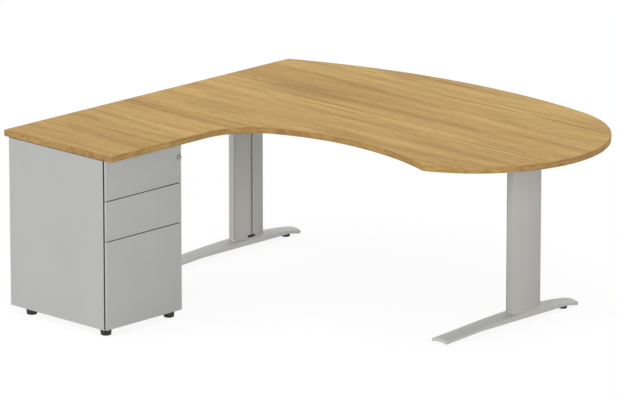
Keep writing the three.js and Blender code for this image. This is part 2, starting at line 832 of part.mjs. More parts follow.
function hull(a, radiusA, b, radiusB) {
  const tilt = Math.acos((radiusA - radiusB) / Math.hypot(b[0] - a[0], b[1] - a[1]));
  const heading = angleFrom(a, b);
  const arc = (centre, radius, from, to) => Array.from({ length: pinSteps + 1 }, (_, step) => {
    const angle = from + (to - from) * step / pinSteps;
    return [centre[0] + radius * Math.cos(angle), centre[1] + radius * Math.sin(angle)];
  });
  return [
    ...arc(b, radiusB, heading - tilt, heading + tilt),
    ...arc(a, radiusA, heading + tilt, heading - tilt + 2 * halfTurn),
  ];
}

// Cam lock. Its crank pin starts 45 degrees below level and ends 45 degrees above it, and lifts
// the bar that runs down beside the drawers.
const barrelX = frontX - lockBack;
const plugX = barrelX - plugTail;
const camX = plugX - camThickness;
const headX = camX - lockHeadGap - lockHeadThickness;
const crankDrop = camThrow * Math.SQRT1_2;
const crankY = lockY + crankDrop;
const crankZ = lockZ - crankDrop;

function lock(fronts) {
  const boreRadius = plugRadius + fitGap;
  const barrel = [
    [boreRadius, barrelX],
    [lockRadius, barrelX],
    [lockRadius, frontX],
    [lockRoseRadius, frontX],
    [lockRoseRadius, frontX + lockRose - lockRoseEdge],
    [lockRoseRadius - lockRoseEdge, frontX + lockRose],
    [lockNoseRadius, frontX + lockRose],
    [lockNoseRadius, frontX + lockNose - lockRoseEdge],
    [lockNoseRadius - lockRoseEdge, frontX + lockNose],
    [boreRadius, frontX + lockNose],
    [boreRadius, barrelX],
  ];
  add('lock_barrel', turnedAlongX(barrel, lockY, lockZ), materials.lock);
  const noseX = frontX + lockNose + plugNose;
  const keyway = block(
    [noseX - keywayDepth, noseX + overrun],
    [lockY - keywayWidth / 2, lockY + keywayWidth / 2],
    [lockZ - keywayHeight / 2, lockZ + keywayHeight / 2],
  );
  add('lock_plug', cut(rodAlongX(plugRadius, plugX, noseX, lockY, lockZ), keyway), materials.lock);
  const plate = prism(hull([lockY, lockZ], camHubRadius, [crankY, crankZ], camTipRadius), camX, plugX, 'x');
  const pin = rodAlongX(crankPinRadius, headX, plugX - camThickness / 2, crankY, crankZ, pinSteps);
  add('lock_cam', join(plate, pin), materials.zinc);

  const barX = [plugX - lockBarWidth, plugX];
  const barY = [wallY[1] - fitGap - lockBarThickness, wallY[1] - fitGap];
  const strip = block(
    barX,
    barY,
    [floorClearance + panEdge + lockBarEndGap, undersideZ - panEdge - lockBarEndGap],
  );
  const head = block(
    [headX, headX + lockHeadThickness],
    [lockY, barY[1]],
    [crankZ - lockHeadHeight / 2, crankZ + lockHeadHeight / 2],
  );
  const lugs = fronts.map(([z0, z1]) => block(
    barX,
    [barY[0] - lockLugLength, barY[1]],
    [(z0 + z1 - lockLugHeight) / 2, (z0 + z1 + lockLugHeight) / 2],
  ));
  const play = crankPinRadius + lockSlotPlay;
  const slot = block(
    [headX - overrun, camX],
    [crankY - play, lockY + camThrow + play],
    [crankZ - play, crankZ + play],
  );
  add('lock_bar', cut(join(strip, head, ...lugs), slot), materials.zinc);
}

function pedestal() {
  const top = [undersideZ - frontTopGap - boxFrontHeight, undersideZ - frontTopGap];
  const middle = [top[0] - frontGap - boxFrontHeight, top[0] - frontGap];
  const file = [floorClearance + frontBottomGap, middle[0] - frontGap];
  const lockBore = rodAlongX(lockRadius + lockBoreClearance, skinX - overrun, frontX + overrun, lockY, lockZ);
  carcass();
  drawerFront('top_drawer_front', top, lockBore);
  drawerFront('middle_drawer_front', middle);
  drawerFront('file_drawer_front', file);
  for (const [name, [z0, z1]] of [['top_drawer', top], ['middle_drawer', middle]]) {
    const floor = z0 + boxTrayRise;
    drawerTray(`${name}_tray`, [floor, z1 - boxTrayDrop]);
    drawerSlides(name, floor + boxRailRise, boxRailHeight, boxRailCount);
  }
  const floor = file[0] + fileTrayRise;
  drawerTray('file_drawer_tray', [floor, file[1] - fileTrayDrop]);
  drawerSlides('file_drawer', floor + fileRailRise, fileRailHeight, fileRailCount);
  lock([top, middle, file]);
}

worktop();
const cornerPost = leg('corner_leg', footWidth / 2, 1);
const endPost = leg('end_leg', footWidth / 2 + legSpacing, -1);
beam(cornerPost, endPost);
pedestal();

// The part's origin is on the floor, under the middle of its outline
const bowRise = bowCentre[1] + backBowRadius;
desk.position.set(-topLength / 2, (returnLength - bowRise) / 2, 0);

export default desk;
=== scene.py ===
import json
import math

import bmesh
import bpy
from mathutils import Matrix, Vector

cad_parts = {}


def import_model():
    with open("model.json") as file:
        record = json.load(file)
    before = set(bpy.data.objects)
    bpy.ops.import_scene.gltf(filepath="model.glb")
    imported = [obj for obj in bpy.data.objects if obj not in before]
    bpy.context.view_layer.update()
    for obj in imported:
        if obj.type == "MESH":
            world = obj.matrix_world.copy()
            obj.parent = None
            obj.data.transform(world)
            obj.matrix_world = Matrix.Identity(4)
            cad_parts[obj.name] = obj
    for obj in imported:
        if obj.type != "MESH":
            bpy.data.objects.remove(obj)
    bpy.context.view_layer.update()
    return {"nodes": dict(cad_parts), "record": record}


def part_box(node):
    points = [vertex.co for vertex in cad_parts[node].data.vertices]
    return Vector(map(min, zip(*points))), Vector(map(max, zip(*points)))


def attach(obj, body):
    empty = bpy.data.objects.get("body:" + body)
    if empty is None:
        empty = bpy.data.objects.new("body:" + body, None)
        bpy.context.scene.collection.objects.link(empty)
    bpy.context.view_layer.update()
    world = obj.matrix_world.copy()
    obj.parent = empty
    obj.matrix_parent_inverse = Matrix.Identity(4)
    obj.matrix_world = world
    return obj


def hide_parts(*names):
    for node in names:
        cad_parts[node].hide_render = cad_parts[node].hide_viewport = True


# L-shaped office desk with a round meeting end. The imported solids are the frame; this script gives
# them their looks and draws finer pieces over the ones that show. Lengths are millimetres from the
# back corner of the worktop, as in the solids' source, and become metres in the meshes.

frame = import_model()
nodes = frame["nodes"]
scene = bpy.context.scene
millimetre = 0.001

# Worktop
desk_height = 735
top_thickness = 25
top_length = 1890
return_length = 1600
return_width = 600
end_radius = 540
end_centre_setback = 350
back_bow_radius = 2460
bay_centre = 1106
bay_depth = 770
bay_return_side_radius = 880
bay_end_side_radius = 1200
inner_corner_radius = 250
tip_radius = 20
outer_corner_radius = 3
front_corner_radius = 15
band_thickness = 2
band_arris = 1.5
worktop_chord_error = 0.01
worktop_slack = 0.2
arris_steps = 5
facing_down = -0.5

# Feet
leg_setback = 5
leg_spacing = 1525
foot_length = 768
foot_width = 78
foot_front_edge = 20
foot_back_edge = 22
foot_peak_edge = 42
foot_end_crown = 7
foot_peak_crown = 4
foot_end_underside = 9
foot_underside = 20.5
foot_front_run_out = 198
foot_back_run_out = 70
foot_front_fullness = 0.68
foot_back_fullness = 0.82
foot_hollow = 5
foot_wall = 5
foot_pocket_margin = 24
foot_edge_radius = 2.5
foot_corner_radius = 3
foot_stations = 64
foot_end_stations = 6
crown_steps = 14
hollow_steps = 8
saddle_height = 49
saddle_margin = 1.5
saddle_edge = 0.8
boss_radius = 20
glide_inset = 49
glide_radius = 18
glide_height = 13
glide_edge = 2
glide_stud_radius = 5
glide_stud_length = 7
glide_hole_clearance = 0.4
sole_edge_share = 0.3

# Columns, arms and the frame between them
column_setback = 282
column_width = 166
column_facet = 30
column_depth = 70
cover_wall = 2
cover_lip = 7
cover_bend = 2.5
cover_top_clearance = 1
# A thin black strip in each joint between cover and inner panel paints the joint's shade
cover_shade_strip_radius = 0.45
cover_shade_strip_setback = 0.5
slot_rib = 8
slot_width = 8
arm_depth = 35
arm_wall = 3
beam_plate = 4
beam_plate_margin = 15
bracket_leg = 40
bracket_wall = 3

# Pedestal
pedestal_setback = 27.5
pedestal_width = 411.5
carcass_depth = 526
carcass_wall = 1.2
carcass_top_gap = 1.5
# A black strip in the gap above the wrap paints the shadow line under the board
carcass_shade_strip_recess = 0.2
floor_clearance = 27
front_flange = 10
front_lip = 10
bend_radius = 2
pedestal_foot_inset = 33
front_foot_setback = 23
rear_foot_setback = 86
pedestal_foot_radius = 23
pedestal_foot_sole = 21
pedestal_foot_edge = 3
pedestal_foot_rim_drop = 1.5
pedestal_foot_rim_width = 1
pedestal_stud_radius = 5
pedestal_stud_length = 24

# Drawers, and the black strips in the gaps round their fronts that paint the shade there
drawer_names = ("top_drawer", "middle_drawer", "file_drawer")
front_depth = 18
tray_wall = 1.2
tray_edge = 0.4
rail_wall = 1
# Sizes of the black strips that paint the shade in the gaps round the fronts
shade_strip_setback = 0.3
shade_strip_depth = 4
shade_strip_height = 2.7
shade_strip_thickness = 0.8
shade_strip_margin = 1.2
shade_strip_stop = 13

# Lock
lock_inset = 15
lock_drop = 56
lock_notch_half = 24
lock_radius = 8
lock_rose_radius = 10
lock_rose = 3
lock_rose_edge = 0.8
lock_nose_radius = 8.8
lock_nose = 9
lock_back = 32
plug_radius = 5.5
plug_nose = 0.6
plug_tail = 2
keyway_width = 1.4
keyway_height = 7
keyway_depth = 3

# Fasteners
screw_radius = 4.2
screw_height = 2.6
recess_width = 1.2
recess_length = 4.6
recess_depth = 1.5
bolt_radius = 5.8
bolt_height = 4.4
bolt_chamfer_height = 0.6
bolt_chamfer_width = 1.2
washer_radius = 7
washer_height = 1.2
rivet_radius = 3.2
rivet_height = 1
arm_screw_reaches = (-350, -230, -110, 90, 180)
foot_bolt_reach = 45
bracket_bolt_half_pitch = 17
bracket_screw_share = 0.6
bracket_bolt_share = 0.55
tray_screw_reach = 120
tray_screw_shares = (0.3, 0.75)
tray_rivet_shares = (0.12, 0.5, 0.88)
rail_rivet_shares = (0.08, 0.5, 0.92)

# Rails for hanging files
filing_rail_wall = 1.2
filing_rail_drop = 14
filing_rail_shoulder = 2
filing_rail_step = 5
filing_rail_rise = 9
filing_rail_end_gap = 12
filing_rail_bend = 1.5

# How forms are drawn
round_steps = 64
head_steps = 32
hexagon_steps = 6
bend_steps = 6
edge_segments = 2
overrun = 5
fit_gap = 0.3
soft_edge = 0.5
sheet_edge = 0.2
weld_distance = 0.0003
flat_angle = math.radians(0.225)
bend_angle = math.radians(15)
sharp_angle = math.radians(35)
quarter_turn = math.pi / 2
half_turn = math.pi
full_turn = 2 * math.pi

underside = desk_height - top_thickness


# Outlines

def angle_from(centre, point):
    return math.atan2(point[1] - centre[1], point[0] - centre[0])


def direction(a, b):
    length = math.hypot(b[0] - a[0], b[1] - a[1])
    return ((b[0] - a[0]) / length, (b[1] - a[1]) / length)


def on_circle(centre, radius, angle):
    return (centre[0] + radius * math.cos(angle), centre[1] + radius * math.sin(angle))


def angles_to(sweep, steps):
    """Angles from zero to a sweep, both included."""
    return [sweep * step / steps for step in range(steps + 1)]


def meeting(a, radius_a, b, radius_b):
    """Where two circles meet, on the right of the way from one centre to the other."""
    gap = math.hypot(b[0] - a[0], b[1] - a[1])
    along = (radius_a ** 2 - radius_b ** 2 + gap ** 2) / (2 * gap)
    across = math.sqrt(radius_a ** 2 - along ** 2)
    ux, uy = direction(a, b)
    return (a[0] + ux * along + uy * across, a[1] + uy * along - ux * across)


end_centre = (top_length - end_radius, -end_centre_setback)
bow_centre = meeting((0, 0), back_bow_radius, end_centre, back_bow_radius - end_radius)
bow_rise = bow_centre[1] + back_bow_radius
shift = (-top_length / 2, (return_length - bow_rise) / 2, 0)


def worktop_arcs():
    """Arcs in order round the board, counter-clockwise from above. Hollow ones bend into it."""
    bay_return = (bay_centre, -bay_depth - bay_return_side_radius)
    bay_end = (bay_centre, -bay_depth - bay_end_side_radius)
    outer = (outer_corner_radius, outer_corner_radius - return_length)
    front = (return_width - front_corner_radius, front_corner_radius - return_length)
    inner_x = return_width + inner_corner_radius
    inner_reach = bay_return_side_radius - inner_corner_radius
    inner = (inner_x, bay_return[1] + math.sqrt(inner_reach ** 2 - (inner_x - bay_centre) ** 2))
    tip = meeting(bay_end, bay_end_side_radius + tip_radius, end_centre, end_radius - tip_radius)
    back_reach = back_bow_radius - outer_corner_radius
    back_rise = math.sqrt(back_reach ** 2 - (outer_corner_radius - bow_centre[0]) ** 2)
    back = (outer_corner_radius, bow_centre[1] + back_rise)
    bay_start = angle_from(bay_return, inner)
    bay_stop = angle_from(bay_end, tip)
    tip_stop = angle_from(end_centre, tip)
    bow_start = angle_from(bow_centre, end_centre)
    bow_stop = angle_from(bow_centre, back)
    return [
        (outer, outer_corner_radius, half_turn, half_turn + quarter_turn, False),
        (front, front_corner_radius, -quarter_turn, 0, False),
        (inner, inner_corner_radius, half_turn, bay_start, True),
        (bay_return, bay_return_side_radius, bay_start, quarter_turn, True),
        (bay_end, bay_end_side_radius, quarter_turn, bay_stop, True),
        (tip, tip_radius, bay_stop - half_turn, tip_stop, False),
        (end_centre, end_radius, tip_stop, bow_start, False),
        (bow_centre, back_bow_radius, bow_start, bow_stop, False),
        (back, outer_corner_radius, bow_stop, half_turn, False),
    ]


def worktop_outline(inset):
    """The board's outline drawn in by an inset, with the same number of points for each inset."""
    points = []
    ended = None
    reach = inset + worktop_slack
    for centre, radius, start, stop, hollow in worktop_arcs():
        drawn = radius + reach if hollow else radius - reach
        step_angle = 2 * math.sqrt(2 * worktop_chord_error / radius)
        steps = max(arris_steps, math.ceil(abs(stop - start) / step_angle))
        begun = on_circle(centre, radius, start)
        joined = ended is not None and math.dist(ended, begun) < worktop_slack
        for step in range(1 if joined else 0, steps + 1):
            points.append(on_circle(centre, drawn, start + (stop - start) * step / steps))
        ended = on_circle(centre, radius, stop)
    return points


def filleted(path, radius):
    """A path whose sharp bends are turned into arcs."""
    points = [path[0]]
    for before, here, after in zip(path, path[1:], path[2:]):
        into = direction(before, here)
        away = direction(here, after)
        across = into[0] * away[1] - into[1] * away[0]
        turn = math.atan2(across, into[0] * away[0] + into[1] * away[1])
        if abs(turn) < bend_angle:
            points.append(here)
            continue
        run = radius * math.tan(abs(turn) / 2)
        side = math.copysign(radius, turn)
        start = (here[0] - into[0] * run, here[1] - into[1] * run)
        centre = (start[0] - into[1] * side, start[1] + into[0] * side)
        first = angle_from(centre, start)
        angles = angles_to(turn, bend_steps)
        points += [on_circle(centre, radius, first + angle) for angle in angles]
    return points + [path[-1]]


def sheet(path, thickness, radius):
    """Outline of a folded sheet along a path, with its thickness on the path's left."""
    outer = filleted(path, radius)
    inner = []
    for i, point in enumerate(outer):
        before = direction(outer[i - 1], point) if i > 0 else direction(point, outer[i + 1])
        after = direction(point, outer[i + 1]) if i < len(outer) - 1 else before
        normal = (-before[1] - after[1], before[0] + after[0])
        scale = 2 * thickness / (normal[0] ** 2 + normal[1] ** 2)
        inner.append((point[0] + normal[0] * scale, point[1] + normal[1] * scale))
    return outer + inner[::-1]


def column_arc(grow=0):
    """The round side of a column from its back edge to its front edge."""
    chord = column_width / 2 + grow
    rise = column_depth / 2 - column_facet / 2
    radius = (chord ** 2 + rise ** 2) / (2 * rise)
    reach = math.asin(chord / radius)
    angles = [reach * (1 - 2 * step / round_steps) for step in range(round_steps + 1)]
    back = column_depth / 2 + grow
    return [(radius * (1 - math.cos(angle)) - back, radius * math.sin(angle)) for angle in angles]


def dome(radius, height):
    """Profile of a low round head."""
    angles = angles_to(quarter_turn, bend_steps)[:-1]
    return [(radius * math.cos(angle), height * math.sin(angle)) for angle in angles]


def bead(centre, half, base, height):
    """Section of a black strip with a rounded top, which paints the shade in a gap."""
    angles = angles_to(half_turn, bend_steps)
    return [(centre + half * math.cos(angle), base + height * math.sin(angle)) for angle in angles]


# Meshes

def linked(name, mesh):
    obj = bpy.data.objects.new(name, mesh)
    scene.collection.objects.link(obj)
    return obj


def dropped(*objects):
    for obj in objects:
        mesh = obj.data
        bpy.data.objects.remove(obj)
        bpy.data.meshes.remove(mesh)


def rings_mesh(name, rings, capped=True):
    """Joins rings of points; without caps the last ring meets the first."""
    count = len(rings[0])
    faces = []
    for here in range(len(rings) - 1 if capped else len(rings)):
        there = (here + 1) % len(rings)
        for i in range(count):
            j = (i + 1) % count
            faces.append((here * count + i, here * count + j, there * count + j, there * count + i))
    if capped:
        faces.append(tuple(reversed(range(count))))
        faces.append(tuple(range((len(rings) - 1) * count, len(rings) * count)))
    points = [point for ring in rings for point in ring]
    shifted = [tuple((c + s) * millimetre for c, s in zip(point, shift)) for point in points]
    mesh = bpy.data.meshes.new(name)
    mesh.from_pydata(shifted, [], faces)
    work = bmesh.new()
    work.from_mesh(mesh)
    bmesh.ops.recalc_face_normals(work, faces=work.faces)
    work.to_mesh(mesh)
    work.free()
    return linked(name, mesh)


def raised(outline, level, axis):
    """An outline's points at a level of an axis."""
    at = "xyz".index(axis)
    return [(*point[:at], level, *point[at:]) for point in outline]


def prism(name, outline, low, high, axis="z"):
    return rings_mesh(name, [raised(outline, level, axis) for level in (low, high)])


def block(name, x, y, z):
    return prism(name, [(x[0], y[0]), (x[1], y[0]), (x[1], y[1]), (x[0], y[1])], *z)


def turned(name, profile, centre, axis="z", steps=round_steps, capped=True):
    """A turned piece from (radius, level) points; levels of its axis are absolute."""
    angles = angles_to(full_turn, steps)[:-1]
    rings = []
    for radius, level in profile:
        circle = [on_circle(centre, radius, angle) for angle in angles]
        rings.append(raised(circle, level, axis))
    return rings_mesh(name, rings, capped)


def settled(obj):
    """Turns an object's modifiers into its mesh."""
    graph = bpy.context.evaluated_depsgraph_get()
    mesh = bpy.data.meshes.new_from_object(obj.evaluated_get(graph))
    old = obj.data
    obj.modifiers.clear()
    obj.data = mesh
    bpy.data.meshes.remove(old)


def combined(obj, operation, *others):
    for other in others:
        step = obj.modifiers.new(operation, "BOOLEAN")
        step.operation = operation
        step.solver = "EXACT"
        step.object = other
        bpy.context.view_layer.update()
        settled(obj)
        dropped(other)
    return obj


def bevelled(obj, width):
    step = obj.modifiers.new("edges", "BEVEL")
    step.width = width * millimetre
    step.segments = edge_segments
    step.limit_method = "ANGLE"
    step.angle_limit = sharp_angle
    settled(obj)


def repeated(name, pattern, places, toward):
    """One mesh with a copy of the pattern at each place, turned from +Z to face a direction."""
    home = Matrix.Translation(Vector(shift) * millimetre)
    turn = Vector((0, 0, 1)).rotation_difference(Vector(toward)).to_matrix().to_4x4()
    work = bmesh.new()
    for place in places:
        move = Matrix.Translation(Vector(place) * millimetre)
        copy = pattern.data.copy()
        copy.transform(move @ home @ turn @ home.inverted())
        work.from_mesh(copy)
        bpy.data.meshes.remove(copy)
    mesh = bpy.data.meshes.new(name)
    work.to_mesh(mesh)
    work.free()
    return linked(name, mesh)


# Materials. Colours are as seen, 0 to 255, and depths are millimetres. Tones pair a noise's level
# with what a colour is multiplied by there. A mix has a factor's least and most, and the noise's
# levels between which it grows.

tint_levels = (0.3, 0.7)

# A wood's layers, in the order of its cuts: detail, roughness and distortion of their noise
wood_noises = {
    "board": (2, 0.5, 0.4),
    "band": (2, 0.55, 0.5),
    "streak": (3, 0.6, 0.8),
    "line": (3, 0.6, 0.5),
    "mottle": (3, 0.6, 0.6),
    "grain": (3, 0.6, 0),
    "pore": (2, 0.5, 0),
}
board_levels = (0.36, 0.6)
band_tones = ((0.3, (0.77, 0.74, 0.65)), (0.5, (1, 1, 1)), (0.72, (1.16, 1.18, 1.26)))
mottle_tones = ((0.32, (0.9, 0.88, 0.82)), (0.68, (1.08, 1.1, 1.16)))
grain_tones = ((0.3, (0.86, 0.86, 0.86)), (0.62, (1.04, 1.04, 1.04)))
grain_share = 0.55
streak_mix = (0, 0.75, 0.53, 0.72)
line_mix = (0, 0.32, 0.56, 0.74)
pore_mix = (0, 0.35, 0.63, 0.72)
wood_roughness = (0.46, 0.56)
wood_specular = 0.12
pore_strength = 0.15
pore_depth = 0.1

# Each wood's golden, rosy, streak and dark colours, its layers' scales along and across the grain,
# and the coordinates the grain is laid by
decor_colours = ((201, 164, 95), (189, 150, 84), (161, 123, 60), (142, 106, 50))
decor_cuts = ((0.7, 6), (1.1, 15), (1.4, 36), (3, 110), (16, 90), (9, 520), (26, 1500))
edging_colours = ((178, 144, 86), (168, 130, 80), (146, 110, 66), (128, 96, 56))
edging_cuts = ((3, 9), (22, 70), (30, 110), (40, 240), (90, 300), (9, 520), (26, 1500))
woods = {
    "decor": (decor_colours, decor_cuts, "Object"),
    "edging": (edging_colours, edging_cuts, "UV"),
}

# Each paint's colour, roughness, scale and strength of its orange peel, share of metal and gloss
paints = {
    "leg_paint": ((180, 179, 175), 0.5, 1400, 0.12, 0.05, 0.12),
    # The feet's paint is a lighter, glossier copy of leg_paint: painted light on the tops of the
    # feet.
    "foot_paint": ((183, 182, 178), 0.42, 700, 0.2, 0.15, 0.5),
    "frame_paint": ((172, 171, 167), 0.5, 1400, 0.15, 0.1, 0.4),
    "carcass_paint": ((176, 176, 174), 0.55, 1100, 0.2, 0, 0.4),
    "drawer_paint": ((176, 177, 174), 0.5, 1400, 0.12, 0, 0.4),
    "black_steel": ((30, 30, 31), 0.45, 1400, 0.12, 0, 0.4),
}
paint_cloud_scale = 5
paint_shades = (0.985, 1.015)
paint_fleck_fineness = 2.5
paint_fleck_detail = 1
paint_fleck_tones = ((0.35, (0.97, 0.97, 0.97)), (0.65, (1.02, 1.02, 1.02)))
paint_roughness_swing = (-0.04, 0.04)
peel_depth = 0.12

# Each plating's colour, roughness and scales of its fine scratches
platings = {
    "zinc_plate": ((196, 199, 202), 0.36, (40, 900, 900)),
    "nickel_plate": ((171, 170, 166), 0.3, (900, 900, 900)),
}
scratch_noise = (3, 0.6)
scratch_strength = 0.08
scratch_depth = 0.05
spangle_scale = 60
spangle_noise = (3, 0.55)
spangle_shades = (0.9, 1.06)
plating_roughness_swing = (-0.08, 0.12)

# Each moulding's colour and roughness
mouldings = {
    "black_plastic": ((34, 34, 35), 0.5),
    "backing": ((214, 213, 208), 0.6),
}
spark_scale = 900
spark_shades = (0.9, 1.1)
spark_strength = 0.2
spark_depth = 0.08
moulding_roughness_swing = (-0.05, 0.08)
moulding_specular = 0.4

# The Mix node's sockets for colours
mix_colour_inputs = (6, 7)
mix_colour_output = 2


def new_material(name):
    material = bpy.data.materials.new(name)
    material.use_nodes = True
    tree = material.node_tree
    return material, tree, tree.nodes["Principled BSDF"]


def fed(tree, made, inputs):
    """Sets a node's inputs, or links them where the value is another node's output."""
    for key, value in inputs.items():
        if isinstance(value, bpy.types.NodeSocket):
            tree.links.new(value, made.inputs[key])
        else:
            made.inputs[key].default_value = value


def node(tree, kind, inputs, **settings):
    made = tree.nodes.new(kind)
    for key, value in settings.items():
        setattr(made, key, value)
    fed(tree, made, inputs)
    return made


def coordinates(tree, kind):
    return tree.nodes.new("ShaderNodeTexCoord").outputs[kind]


def stretched(tree, source, scale):
    inputs = {"Vector": source, "Scale": scale}
    return node(tree, "ShaderNodeMapping", inputs).outputs["Vector"]


def noise(tree, vector, scale, detail=2, roughness=0.5, distortion=0):
    inputs = {
        "Vector": vector,
        "Scale": scale,
        "Detail": detail,
        "Roughness": roughness,
        "Distortion": distortion,
    }
    return node(tree, "ShaderNodeTexNoise", inputs).outputs["Fac"]


def ramp(tree, source, *tones):
    made = node(tree, "ShaderNodeValToRGB", {"Fac": source})
    ends = made.color_ramp.elements
    while len(ends) < len(tones):
        ends.new(tones[len(ends) - 1][0])
    for element, (level, colour) in zip(ends, tones):
        element.position = level
        element.color = (*colour, 1)
    return made.outputs["Color"]


def mixed(tree, kind, factor, a, b):
    first, second = mix_colour_inputs
    inputs = {"Factor": factor, first: a, second: b}
    made = node(tree, "ShaderNodeMix", inputs, data_type="RGBA", blend_type=kind)
    return made.outputs[mix_colour_output]


def ranged(tree, source, low, high, start=0, stop=1):
    inputs = {"Value": source, "From Min": start, "From Max": stop, "To Min": low, "To Max": high}
    return node(tree, "ShaderNodeMapRange", inputs).outputs["Result"]


def swung(tree, source, roughness, swing):
    low, high = [roughness + reach for reach in swing]
    return ranged(tree, source, low, high)


def relief(tree, height, strength, depth):
    inputs = {"Height": height, "Strength": strength, "Distance": depth * millimetre}
    return node(tree, "ShaderNodeBump", inputs).outputs["Normal"]


def linear(colour):
    """A colour as it is seen, 0 to 255, in the shader's own scale by the sRGB curve."""
    channels = []
    for value in colour:
        share = value / 255
        channels.append(share / 12.92 if share <= 0.04045 else ((share + 0.055) / 1.055) ** 2.4)
    return tuple(channels)


def tinted(tree, source, colour, shades):
    """A colour as seen that a noise takes a little darker and lighter."""
    tones = []
    for level, shade in zip(tint_levels, shades):
        tones.append((level, tuple(min(c * shade, 1) for c in linear(colour))))
    return ramp(tree, source, *tones)


def wood(name, colours, cuts, laid_by):
    """Decor with its grain along the first axis of the coordinates it is laid by."""
    material, tree, shader = new_material(name)
    source = coordinates(tree, laid_by)
    golden, rosy, streak, dark = [linear(colour) for colour in colours]
    layers = {}
    for (layer, settings), (run, width) in zip(wood_noises.items(), cuts):
        layers[layer] = noise(tree, stretched(tree, source, (run, width, width)), 1, *settings)

    def multiplied(tone, share, layer, tones):
        return mixed(tree, "MULTIPLY", share, tone, ramp(tree, layers[layer], *tones))

    def darkened(tone, layer, mix, colour):
        return mixed(tree, "MIX", ranged(tree, layers[layer], *mix), tone, (*colour, 1))

    tone = ramp(tree, layers["board"], *zip(board_levels, (rosy, golden)))
    tone = multiplied(tone, 1, "band", band_tones)
    tone = darkened(tone, "streak", streak_mix, streak)
    tone = darkened(tone, "line", line_mix, dark)
    tone = multiplied(tone, 1, "mottle", mottle_tones)
    tone = multiplied(tone, grain_share, "grain", grain_tones)
    fed(tree, shader, {
        "Base Color": darkened(tone, "pore", pore_mix, dark),
        "Roughness": ranged(tree, layers["grain"], *wood_roughness),
        "Specular IOR Level": wood_specular,
        "Normal": relief(tree, layers["pore"], pore_strength, pore_depth),
    })
    return material


def powder_coat(name, colour, roughness, grain, strength, metallic, specular):
    """Sprayed and baked paint with a fine orange peel."""
    material, tree, shader = new_material(name)
    source = coordinates(tree, "Object")
    peel = noise(tree, source, grain)
    speck = noise(tree, source, grain * paint_fleck_fineness, paint_fleck_detail)
    tint = tinted(tree, noise(tree, source, paint_cloud_scale), colour, paint_shades)
    fed(tree, shader, {
        "Base Color": mixed(tree, "MULTIPLY", 1, tint, ramp(tree, speck, *paint_fleck_tones)),
        "Roughness": swung(tree, peel, roughness, paint_roughness_swing),
        "Metallic": metallic,
        "Specular IOR Level": specular,
        "Normal": relief(tree, peel, strength, peel_depth),
    })
    return material


def plated(name, colour, roughness, scales):
    """Zinc or nickel plate on rolled or turned metal."""
    material, tree, shader = new_material(name)
    source = coordinates(tree, "Object")
    scratches = noise(tree, stretched(tree, source, scales), 1, *scratch_noise)
    spangle = noise(tree, source, spangle_scale, *spangle_noise)
    fed(tree, shader, {
        "Base Color": tinted(tree, spangle, colour, spangle_shades),
        "Roughness": swung(tree, scratches, roughness, plating_roughness_swing),
        "Metallic": 1,
        "Normal": relief(tree, scratches, scratch_strength, scratch_depth),
    })
    return material


def moulded(name, colour, roughness):
    """Plastic or a pressed sheet with a fine eroded surface."""
    material, tree, shader = new_material(name)
    spark = noise(tree, coordinates(tree, "Object"), spark_scale)
    fed(tree, shader, {
        "Base Color": tinted(tree, spark, colour, spark_shades),
        "Roughness": swung(tree, spark, roughness, moulding_roughness_swing),
        "Specular IOR Level": moulding_specular,
        "Normal": relief(tree, spark, spark_strength, spark_depth),
    })
    return material


looks = {}
for make, table in ((wood, woods), (powder_coat, paints), (plated, platings), (moulded, mouldings)):
    for look, settings in table.items():
        looks[look] = make(look, *settings)

# The looks of the slots that aren't named as their material is
slot_looks = {"laminate": "decor", "zinc": "zinc_plate", "lock_metal": "nickel_plate"}


def dressed(mesh, look):
    mesh.materials.clear()
    mesh.materials.append(looks[slot_looks.get(look, look)])


for subpart in frame["record"]["subparts"]:
    dressed(nodes[subpart["node"]].data, subpart["material_slot"])


# Pieces

def finished(obj, body, slot, *replaced, look=None):
    """Gives a piece its look, lets it ride on a body and stand in for the nodes it replaces."""
    obj.data.polygons.foreach_set("use_smooth", [True] * len(obj.data.polygons))
    obj.data.set_sharp_from_angle(angle=sharp_angle)
    dressed(obj.data, look or slot)
    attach(obj, body)
    if replaced:
        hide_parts(*replaced)


def softened(name, body, slot, width=soft_edge):
    """Draws a CAD node anew with its sharp edges taken off."""
    source = nodes[name].data
    mesh = bpy.data.meshes.new(f"{name}_finish")
    points = [tuple(vertex.co) for vertex in source.vertices]
    mesh.from_pydata(points, [], [tuple(face.vertices) for face in source.polygons])
    work = bmesh.new()
    work.from_mesh(mesh)
    bmesh.ops.remove_doubles(work, verts=work.verts, dist=weld_distance * millimetre)
    bmesh.ops.dissolve_limit(
        work,
        angle_limit=flat_angle,
        use_dissolve_boundaries=False,
        verts=work.verts,
        edges=work.edges,
    )
    work.to_mesh(mesh)
    work.free()
    obj = linked(f"{name}_finish", mesh)
    bevelled(obj, width)
    finished(obj, body, slot, name)


def span_of(name):
    """A node's reach along each axis, in this script's own lengths."""
    low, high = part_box(name)
    return [(a / millimetre - s, b / millimetre - s) for a, b, s in zip(low, high, shift)]


def middle_of(span):
    return (span[0] + span[1]) / 2


def shares_of(span, shares):
    return [span[0] + (span[1] - span[0]) * share for share in shares]


def walls_of(outer, inner, thickness):
    """Each side, the inner face of its wall and the way inward."""
    return (("outer", outer[0] + thickness, 1), ("inner", inner[1] - thickness, -1))


# Worktop

